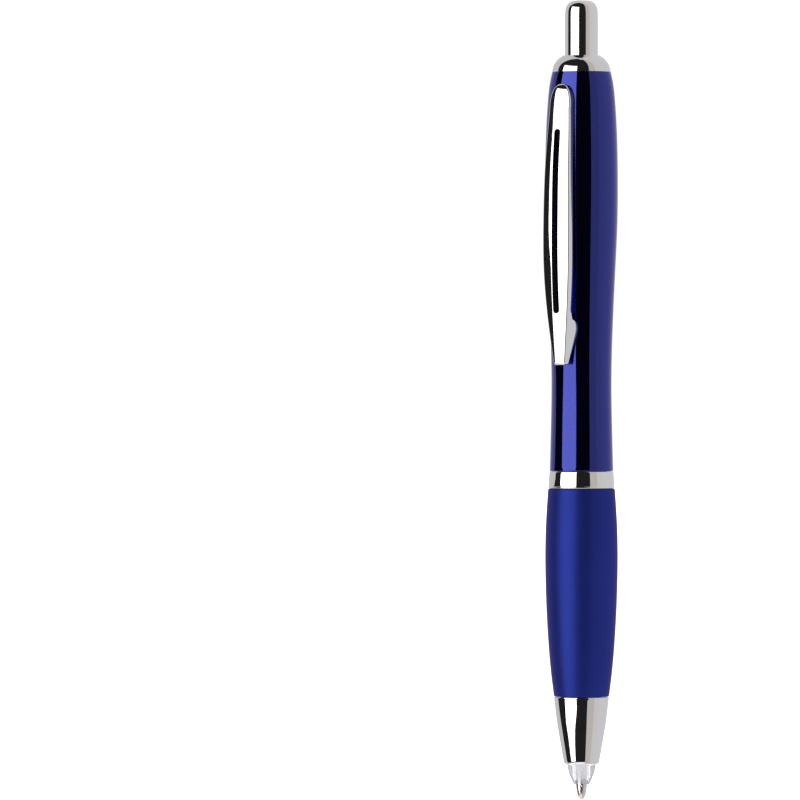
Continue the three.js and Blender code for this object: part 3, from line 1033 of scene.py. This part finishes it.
spring = take_over(return_spring(), "return_spring", rides=False)
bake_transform(spring)


# ---------- studio ----------

CENTRE = Vector((0, 0, (cad_box[0].z + cad_box[1].z) / 2))
STUDIO_RADIUS = 1.2


def towards(azimuth, elevation):
    """Direction from the pen, with azimuth from the camera's side, positive to the picture's right."""
    a, e = radians(CAMERA_AZIMUTH + azimuth), radians(elevation)
    return Vector((sin(a) * cos(e), -cos(a) * cos(e), sin(e)))


def glow(name, colour, strength):
    material = bpy.data.materials.new(name)
    material.use_nodes = True
    nodes = material.node_tree.nodes
    nodes.remove(nodes["Principled BSDF"])
    light = nodes.new("ShaderNodeEmission")
    light.inputs["Color"].default_value = (*colour, 1)
    light.inputs["Strength"].default_value = strength
    material.node_tree.links.new(light.outputs[0], nodes["Material Output"].inputs["Surface"])
    return material


def panel(name, outline, colour, strength, scale=1.0):
    """A curved studio panel around the pen. Its outline is rows of elevation, left and right azimuth.

    A scale a little under or over 1 sets it in front of the panels beside it, or behind them.
    """
    steps = 24
    levels = [row[0] for row in outline]
    up = np.linspace(levels[0], levels[-1], 3 + int((levels[-1] - levels[0]) / 3))
    vertices = []
    for e in up:
        left, right = (np.interp(e, levels, [row[side] for row in outline]) for side in (1, 2))
        vertices += [CENTRE + STUDIO_RADIUS * towards(a, e) for a in np.linspace(left, right, steps)]
    faces = [
        [i * steps + j, i * steps + j + 1, (i + 1) * steps + j + 1, (i + 1) * steps + j]
        for i in range(len(up) - 1)
        for j in range(steps - 1)
    ]
    mesh = bpy.data.meshes.new(name)
    mesh.from_pydata(vertices, [], faces)
    mesh.materials.append(glow(name, colour, strength))
    made = bpy.data.objects.new(name, mesh)
    made.scale = (scale, scale, scale)
    made.visible_camera = False
    bpy.context.scene.collection.objects.link(made)


def studio():
    """A softbox in a dark screen, reflectors, grey walls and a grey ceiling, unseen by the camera."""
    low, high, top = -60, 84, 90
    in_front, behind = 0.98, 1.02
    softbox = [
        (-29, -62, -50),
        (-18, -78, -22),
        (-12, -73, -22),
        (-1, -72, -22),
        (4, -80, -19),
        (37, -80, -19),
    ]
    screen = [
        (-33, -105, 25),
        (-18, -110, 25),
        (-10, -119, 30),
        (-1, -119, 30),
        (4, -108, 31),
        (high, -108, 31),
    ]

    def upright(left, right):
        return [(low, left, right), (high, left, right)]

    panel("softbox", softbox, (1, 0.97, 0.9), 2.4, in_front)
    panel("screen", screen, (1.0, 0.95, 1.0), 0.016)
    panel("left_wall", upright(-180, -105), (0.97, 0.97, 1), 0.62, behind)
    panel("near_reflector", upright(24, 58), (1, 0.95, 0.9), 0.55, behind)
    panel("far_reflector", upright(58, 83), (1, 0.96, 0.93), 0.66)
    panel("right_wall", upright(83, 180), (0.96, 0.97, 1.0), 0.68)
    panel("ceiling", [(high, -180, 180), (top, -180, 180)], (1, 1, 1), 0.6)


def floor():
    """A pale floor at the writing point."""
    half, low = 4.0, cad_box[0].z
    corners = [(-half, -half, low), (half, -half, low), (half, half, low), (-half, half, low)]
    mesh = bpy.data.meshes.new("floor")
    mesh.from_pydata(corners, [], [(0, 1, 2, 3)])
    material = bpy.data.materials.new("floor")
    material.use_nodes = True
    shader = material.node_tree.nodes["Principled BSDF"]
    shader.inputs["Base Color"].default_value = (0.9, 0.9, 0.9, 1)
    shader.inputs["Roughness"].default_value = 0.9
    shader.inputs["Emission Color"].default_value = (1, 1, 1, 1)
    shader.inputs["Emission Strength"].default_value = 0.9
    mesh.materials.append(material)
    made = bpy.data.objects.new("floor", mesh)
    made.visible_glossy = False
    bpy.context.scene.collection.objects.link(made)


def backdrop():
    """Even white light from everywhere that no panel covers."""
    world = bpy.data.worlds.new("backdrop")
    bpy.context.scene.world = world
    world.use_nodes = True
    sky = world.node_tree.nodes["Background"]
    sky.inputs["Color"].default_value = (1, 1, 1, 1)
    sky.inputs["Strength"].default_value = 1.05


def camera():
    """Level with the pen's middle and far off, for a nearly parallel view, with the pen on the right."""
    reach, lens, sensor, aside = 1.2, 306.0, 36.0, 0.03203
    made = bpy.data.objects.new("camera", bpy.data.cameras.new("camera"))
    bpy.context.scene.collection.objects.link(made)
    made.data.sensor_width = sensor
    made.data.lens = lens
    made.data.clip_start = 0.05
    turn = np.degrees(np.arctan2(aside, reach))
    back = towards(turn, 0)
    left = -towards(turn + 90, 0)
    made.location = CENTRE + back * reach + left * aside
    made.rotation_mode = "QUATERNION"
    made.rotation_quaternion = (-back).to_track_quat("-Z", "Y")
    bpy.context.scene.camera = made


studio()
floor()
backdrop()
camera()
bpy.context.scene.view_settings.view_transform = "Standard"
